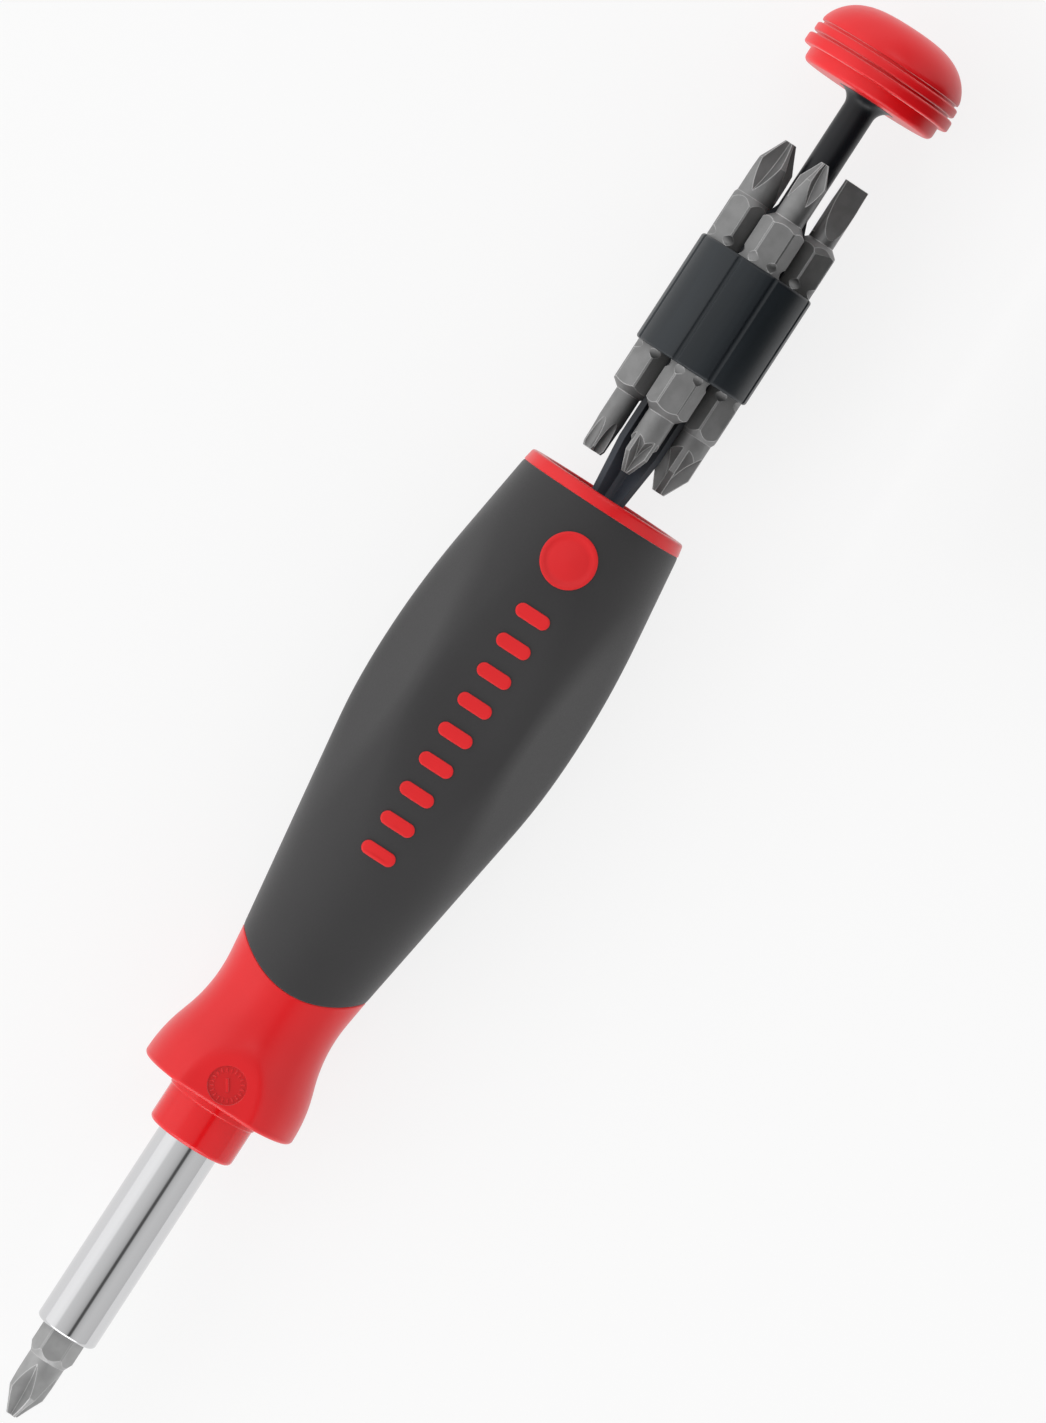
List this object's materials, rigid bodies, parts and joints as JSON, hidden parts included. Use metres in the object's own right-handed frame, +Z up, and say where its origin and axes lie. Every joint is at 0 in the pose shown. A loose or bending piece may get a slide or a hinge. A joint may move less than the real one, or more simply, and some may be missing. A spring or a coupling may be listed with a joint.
{
  "type": "pocket screwdriver",
  "caption": "Pocket screwdriver with a soft-grip handle, a hex bit shaft and a pull-out magazine of double-ended bits under a ribbed cap.",
  "frame": {"origin": "on the tool's axis, where the steel shaft leaves the nose collar", "axes": "+X along the tool from the bit tip to the cap, +Z up towards the medallion facet, +Y to the left of the tool seen from above with the cap ahead"},
  "size_m": [0.2459, 0.0332, 0.0308],
  "materials": {
    "red_body": "satin moulded nylon",
    "soft_grip": "fine matte grain",
    "red_inlay": "matte",
    "red_gloss": "polished",
    "shaft_steel": "polished, nickel plated",
    "magnet": "plated",
    "bit_steel": "dark phosphate",
    "black_stem": "satin",
    "carrier": "satin"
  },
  "bodies": {
    "handle": {"handle_core": "red_body", "grip_sleeve": "soft_grip", "medallion": "red_inlay", "grip_inlays": "red_inlay", "nose_collar": "red_gloss", "holder_sleeve": "shaft_steel", "holder_magnet": "magnet", "holder_ring": "shaft_steel"},
    "magazine": {"magazine_cap": "red_body", "magazine_rod": "black_stem", "bit_carrier": "carrier"},
    "driving_bit": {"shaft_bit": "bit_steel"},
    "left_bit": {"bit_left": "bit_steel"},
    "front_bit": {"bit_front": "bit_steel"},
    "right_bit": {"bit_right": "bit_steel"}
  },
  "joints": [
    {"name": "magazine_slide", "type": "slide", "parent": "handle", "child": "magazine", "axis": [1, 0, 0], "range_m": [-0.0721, 0.018]},
    {"name": "driving_bit_pull", "type": "slide", "parent": "handle", "child": "driving_bit", "axis": [-1, 0, 0], "range_m": [0, 0.043]},
    {"name": "left_bit_pull", "type": "slide", "parent": "magazine", "child": "left_bit", "axis": [-1, 0, 0], "range_m": [0, 0.038]},
    {"name": "front_bit_pull", "type": "slide", "parent": "magazine", "child": "front_bit", "axis": [-1, 0, 0], "range_m": [0, 0.038]},
    {"name": "right_bit_pull", "type": "slide", "parent": "magazine", "child": "right_bit", "axis": [-1, 0, 0], "range_m": [0, 0.038]}
  ]
}
